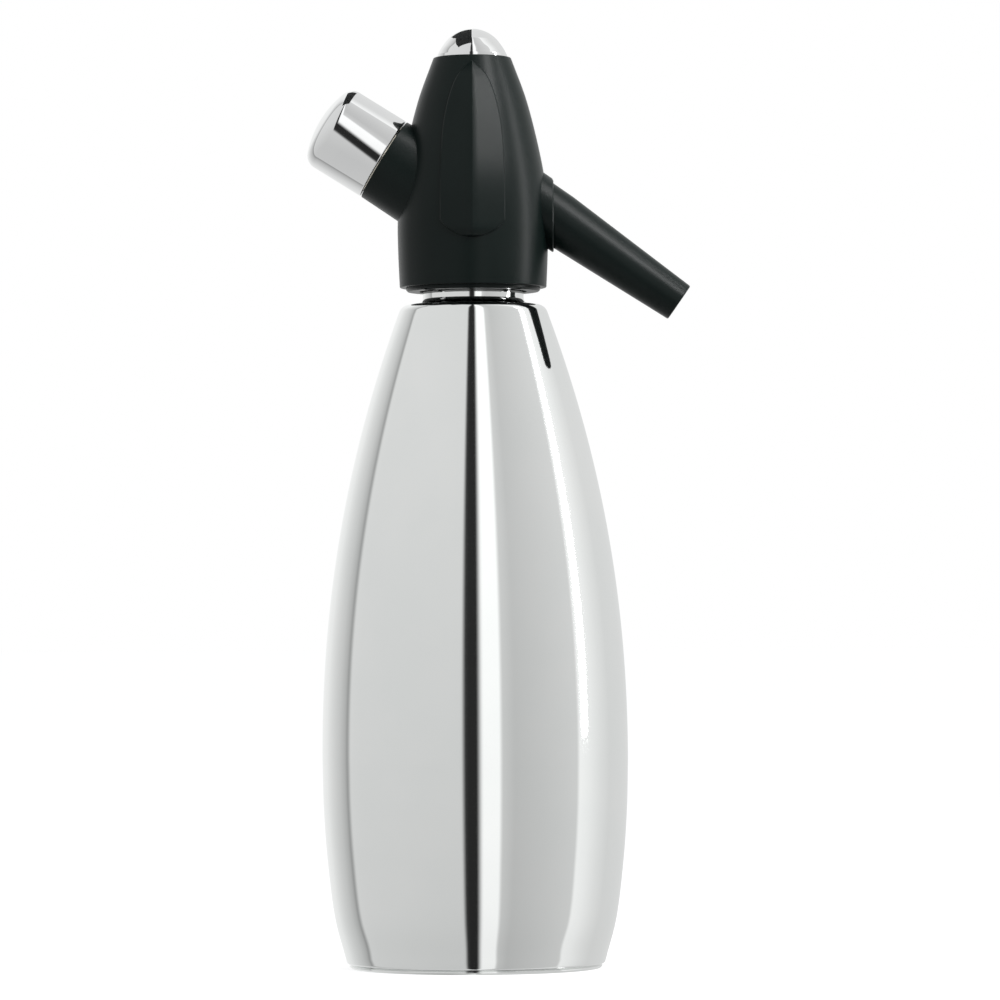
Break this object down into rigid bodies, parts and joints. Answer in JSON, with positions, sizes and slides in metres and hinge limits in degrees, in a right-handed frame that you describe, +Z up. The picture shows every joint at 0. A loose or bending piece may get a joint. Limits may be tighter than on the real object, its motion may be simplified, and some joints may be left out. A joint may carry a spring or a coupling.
{
  "type": "soda siphon",
  "caption": "Soda siphon: polished steel bottle with a screw-on black head, push button, inclined spout and a screw-on gas charger holder.",
  "frame": {"origin": "on the bottle's axis, in the plane that it stands on", "axes": "+Z up along the bottle's axis, +X towards the spout, -X towards the charger holder, -Y is the front"},
  "size_m": [0.125, 0.1, 0.3072],
  "materials": {
    "polished_steel": "mirror-polished stainless steel",
    "chrome_plate": "bright chrome plate",
    "black_plastic": "fine satin moulding",
    "black_rubber": "moulded rubber",
    "white_plastic": "natural polypropylene tube",
    "nickel_brass": "turned, nickel-plated",
    "steel": "plain stainless steel",
    "charger_steel": "zinc-plated steel cartridge",
    "copper_disc": "rolled foil"
  },
  "bodies": {
    "bottle": {"bottle_body": "polished_steel", "bottle_base": "polished_steel"},
    "head_seal": {"head_gasket": "black_rubber"},
    "riser": {"pickup_tube": "white_plastic"},
    "head": {"head_housing": "black_plastic", "threaded_collar": "black_plastic", "housing_screws": "steel", "valve_body": "nickel_brass", "pickup_tube_seal": "black_rubber", "level_tube": "white_plastic", "valve_seat": "black_rubber", "stem_seal": "black_rubber", "button_guide": "nickel_brass", "return_spring": "steel", "charger_sleeve": "nickel_brass", "charger_seal": "black_rubber", "piercing_pin": "steel", "spout": "black_plastic", "spout_seal": "black_rubber", "inlet_valve_cap": "nickel_brass", "inlet_valve_spring": "steel", "relief_disc": "copper_disc", "relief_plug": "nickel_brass"},
    "button": {"push_button": "chrome_plate", "valve_stem": "steel", "valve_plug": "black_rubber", "spring_cup": "steel"},
    "charger": {"co2_charger": "charger_steel"},
    "holder_cushion": {"holder_pad": "black_rubber"},
    "charger_holder": {"charger_holder": "chrome_plate"},
    "inlet_valve": {"inlet_valve_plug": "black_rubber"}
  },
  "joints": [
    {"name": "head_lift", "type": "slide", "parent": "bottle", "child": "head_seal", "axis": [0, 0, 1], "range_m": [0, 0.24]},
    {"name": "head_rise", "type": "slide", "parent": "head_seal", "child": "riser", "axis": [0, 0, 1], "range_m": [0, 0.00825]},
    {"name": "head_turn", "type": "hinge", "parent": "riser", "child": "head", "pos_m": [0, 0, 0.233], "axis": [0, 0, 1], "range_deg": [0, 992]},
    {"name": "button_press", "type": "slide", "parent": "head", "child": "button", "axis": [0, 0, -1], "range_m": [0, 0.003], "stiffness_N_per_m": 1500, "springref_m": -0.004, "deforming": ["return_spring"]},
    {"name": "charger_slide", "type": "slide", "parent": "head", "child": "charger", "axis": [-0.848, 0, 0.5299], "range_m": [0, 0.07]},
    {"name": "holder_rise", "type": "slide", "parent": "charger", "child": "holder_cushion", "axis": [-0.848, 0, 0.5299], "range_m": [0, 0.00792]},
    {"name": "holder_turn", "type": "hinge", "parent": "holder_cushion", "child": "charger_holder", "pos_m": [-0.02926, 0, 0.26478], "axis": [-0.848, 0, 0.5299], "range_deg": [0, 1890]},
    {"name": "inlet_valve_lift", "type": "slide", "parent": "head", "child": "inlet_valve", "axis": [0, 0, -1], "range_m": [0, 0.001], "stiffness_N_per_m": 200, "springref_m": -0.002, "deforming": ["inlet_valve_spring"]}
  ],
  "couplings": [
    {"joint": "head_turn", "follows": "head_rise", "rad_per_m": 2094.4},
    {"joint": "holder_rise", "follows": "holder_turn", "m_per_rad": 0.00023873}
  ]
}
